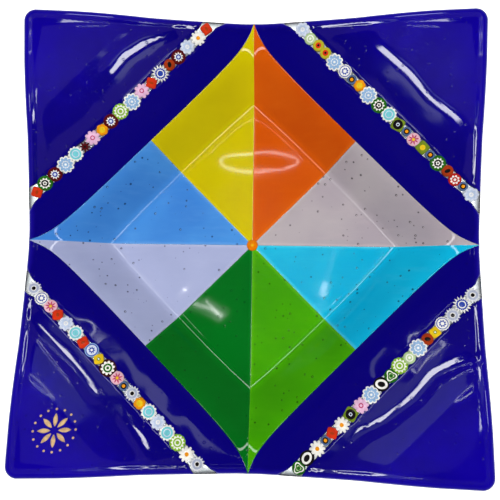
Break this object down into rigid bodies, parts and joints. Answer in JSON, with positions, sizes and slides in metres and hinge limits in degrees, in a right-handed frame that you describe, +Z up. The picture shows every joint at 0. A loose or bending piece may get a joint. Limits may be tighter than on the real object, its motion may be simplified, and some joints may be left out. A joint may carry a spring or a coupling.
{
  "type": "art glass bowl",
  "caption": "Square slumped glass bowl with a diamond floor of eight coloured tiles, rows of murrine slices and four cobalt corner wings over a clear base sheet.",
  "frame": {"origin": "middle of the floor's flat underside, under the centre of the pattern", "axes": "+Z up out of the bowl; +X and +Y along the sides of the square rim, so the floor's corners point along X and Y"},
  "size_m": [0.2568, 0.2568, 0.0516],
  "materials": {
    "clear_glass": "clear fused glass, fire polished",
    "yellow_glass": "opaque yellow glass, polished",
    "orange_glass": "opaque orange glass, polished",
    "pearl_glass": "pinkish white glass with fine bubbles, polished",
    "cyan_glass": "cyan glass with fine bubbles, polished",
    "lime_glass": "lime green glass with fine bubbles, polished",
    "dark_green_glass": "dark green glass with few bubbles, polished",
    "lilac_glass": "lilac white glass with fine bubbles, polished",
    "sky_glass": "sky blue glass with fine bubbles, polished",
    "cobalt_glass": "deep cobalt glass, polished",
    "amber_cane": "amber glass with a yellow core, polished",
    "gilt": "fired gilding",
    "cane_red_block": "patterned cane slice, polished",
    "cane_amber_block": "patterned cane slice, polished",
    "cane_yellow_block": "patterned cane slice, polished",
    "cane_lime_block": "patterned cane slice, polished",
    "cane_yellow_eye": "patterned cane slice, polished",
    "cane_red_dots": "patterned cane slice, polished",
    "cane_green_star": "patterned cane slice, polished",
    "cane_lime_star": "patterned cane slice, polished",
    "cane_maroon_star": "patterned cane slice, polished",
    "cane_dark_star": "patterned cane slice, polished",
    "cane_blue_star": "patterned cane slice, polished",
    "cane_sky_flower": "patterned cane slice, polished",
    "cane_aqua_flower": "patterned cane slice, polished",
    "cane_pink_flower": "patterned cane slice, polished",
    "cane_clear_flower": "patterned cane slice, polished",
    "cane_flower_disc": "patterned cane slice, polished",
    "cane_daisy": "patterned cane slice, polished",
    "cane_pink_cross": "patterned cane slice, polished",
    "cane_blue_cog": "patterned cane slice, polished",
    "cane_lace": "patterned cane slice, polished",
    "cane_brown_eye": "patterned cane slice, polished",
    "cane_grey_eye": "patterned cane slice, polished",
    "cane_olive_disc": "patterned cane slice, polished",
    "cane_green_ring": "patterned cane slice, polished",
    "cane_cell_ring": "patterned cane slice, polished",
    "cane_oval_ring": "patterned cane slice, polished",
    "cane_green_triangle": "patterned cane slice, polished"
  },
  "bodies": {
    "root": {"base_sheet": "clear_glass", "tile_yellow": "yellow_glass", "tile_orange": "orange_glass", "tile_pearl": "pearl_glass", "tile_cyan": "cyan_glass", "tile_lime": "lime_glass", "tile_dark_green": "dark_green_glass", "tile_lilac": "lilac_glass", "tile_sky": "sky_glass", "band_top_right": "cobalt_glass", "band_top_left": "cobalt_glass", "band_bottom_left": "cobalt_glass", "band_bottom_right": "cobalt_glass", "wing_top_right": "cobalt_glass", "wing_top_left": "cobalt_glass", "wing_bottom_left": "cobalt_glass", "wing_bottom_right": "cobalt_glass", "murrina_centre": "amber_cane", "murrine_red_block": "cane_red_block", "murrine_amber_block": "cane_amber_block", "murrine_yellow_block": "cane_yellow_block", "murrine_lime_block": "cane_lime_block", "murrine_yellow_eye": "cane_yellow_eye", "murrine_brown_eye": "cane_brown_eye", "murrine_grey_eye": "cane_grey_eye", "murrine_red_dots": "cane_red_dots", "murrine_green_star": "cane_green_star", "murrine_lime_star": "cane_lime_star", "murrine_maroon_star": "cane_maroon_star", "murrine_dark_star": "cane_dark_star", "murrine_blue_star": "cane_blue_star", "murrine_sky_flower": "cane_sky_flower", "murrine_aqua_flower": "cane_aqua_flower", "murrine_pink_flower": "cane_pink_flower", "murrine_clear_flower": "cane_clear_flower", "murrine_flower_disc": "cane_flower_disc", "murrine_daisy": "cane_daisy", "murrine_pink_cross": "cane_pink_cross", "murrine_blue_cog": "cane_blue_cog", "murrine_lace": "cane_lace", "murrine_olive_disc": "cane_olive_disc", "murrine_green_ring": "cane_green_ring", "murrine_cell_ring": "cane_cell_ring", "murrine_oval_ring": "cane_oval_ring", "murrine_green_triangle": "cane_green_triangle", "gilt_ornament": "gilt"}
  },
  "joints": []
}
